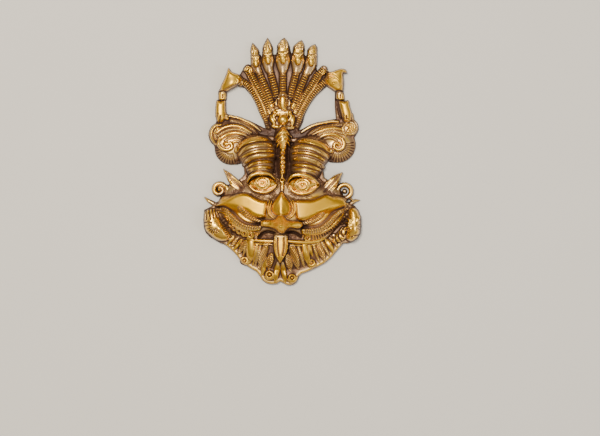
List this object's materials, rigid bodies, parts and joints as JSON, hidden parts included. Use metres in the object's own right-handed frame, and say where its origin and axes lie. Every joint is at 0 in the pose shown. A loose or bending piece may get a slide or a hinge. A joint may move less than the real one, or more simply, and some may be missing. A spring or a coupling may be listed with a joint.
{
  "type": "kirtimukha mask",
  "caption": "Cast brass guardian-face mask with a fan of hooded snakes, winged sea beasts, ringed horns and a bearded, tongue-out face; flat rim and hollow back.",
  "frame": {"origin": "middle of the outline, on the plane of the flat back rim", "axes": "+X to the viewer's right, +Y to the top of the mask, +Z the way the face looks; the mask lies on its back"},
  "size_m": [0.2038, 0.3196, 0.0616],
  "materials": {
    "patinated_brass": "polished high points, dark brown patina in the recesses"
  },
  "bodies": {
    "root": {"kirtimukha_mask": "patinated_brass"}
  },
  "joints": []
}
